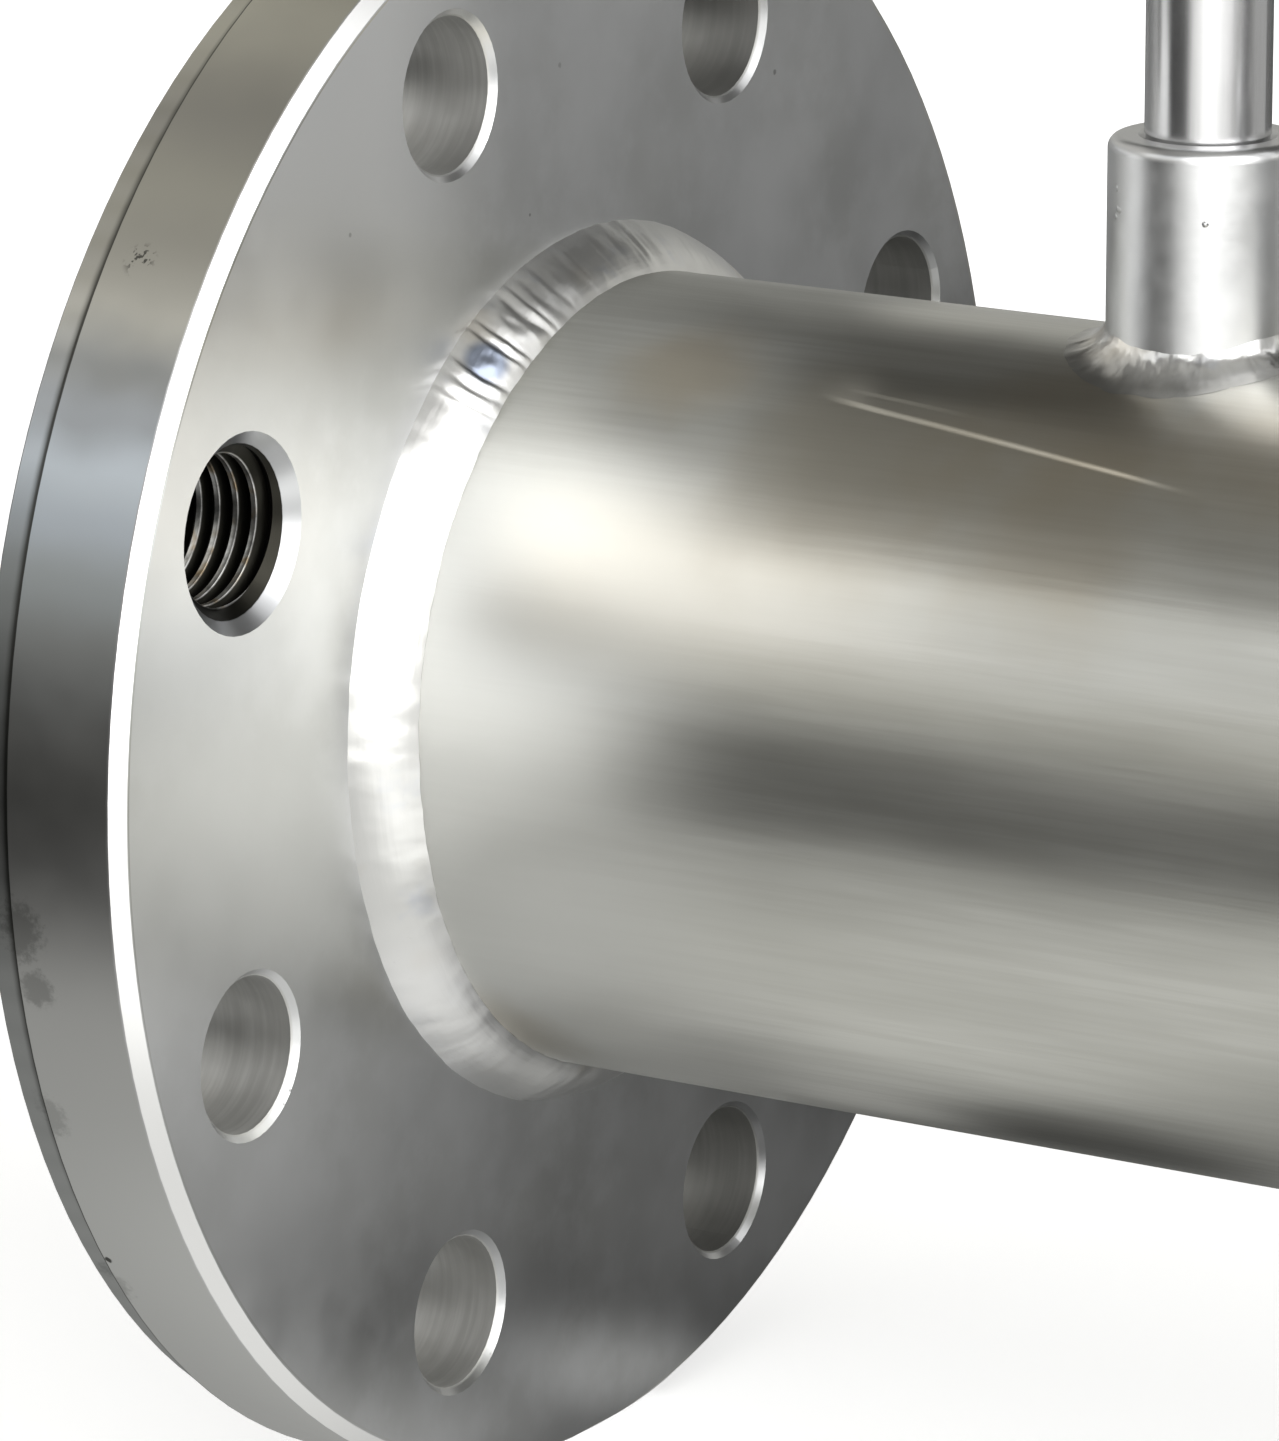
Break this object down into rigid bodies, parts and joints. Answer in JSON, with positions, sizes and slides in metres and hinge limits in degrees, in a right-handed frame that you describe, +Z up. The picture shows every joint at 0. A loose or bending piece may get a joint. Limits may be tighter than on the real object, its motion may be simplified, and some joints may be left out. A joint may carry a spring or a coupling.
{
  "type": "v-cone flow meter",
  "caption": "Flanged pipe length with a cone hung on its axis and two pressure tap tubes, which meters flow by the pressure drop past the cone.",
  "frame": {"origin": "centre of the inlet flange's raised gasket face, on the pipe's axis", "axes": "+X along the flow, from the inlet flange to the outlet flange; +Z up the two pressure tap tubes; +Y completes a right-handed set"},
  "size_m": [0.4, 0.235, 0.3075],
  "materials": {
    "flange_steel": "fine turned",
    "pipe_steel": "satin polished",
    "weld_metal": "as welded, brushed",
    "tap_steel": "polished",
    "cone_steel": "fine turned"
  },
  "bodies": {
    "root": {"body_tube": "pipe_steel", "inlet_flange": "flange_steel", "outlet_flange": "flange_steel", "inlet_fillet_weld": "weld_metal", "inlet_bore_weld": "weld_metal", "outlet_fillet_weld": "weld_metal", "outlet_bore_weld": "weld_metal", "high_pressure_coupling": "tap_steel", "high_pressure_saddle_weld": "weld_metal", "high_pressure_tube": "tap_steel", "low_pressure_coupling": "tap_steel", "low_pressure_saddle_weld": "weld_metal", "low_pressure_tube": "tap_steel", "support_strut": "cone_steel", "strut_wall_weld": "weld_metal", "strut_stem_weld": "weld_metal", "cone_stem": "cone_steel", "cone_front_shell": "cone_steel", "cone_rear_shell": "cone_steel", "cone_seam_weld": "weld_metal", "cone_nose_weld": "weld_metal", "cone_tail_weld": "weld_metal"}
  },
  "joints": []
}
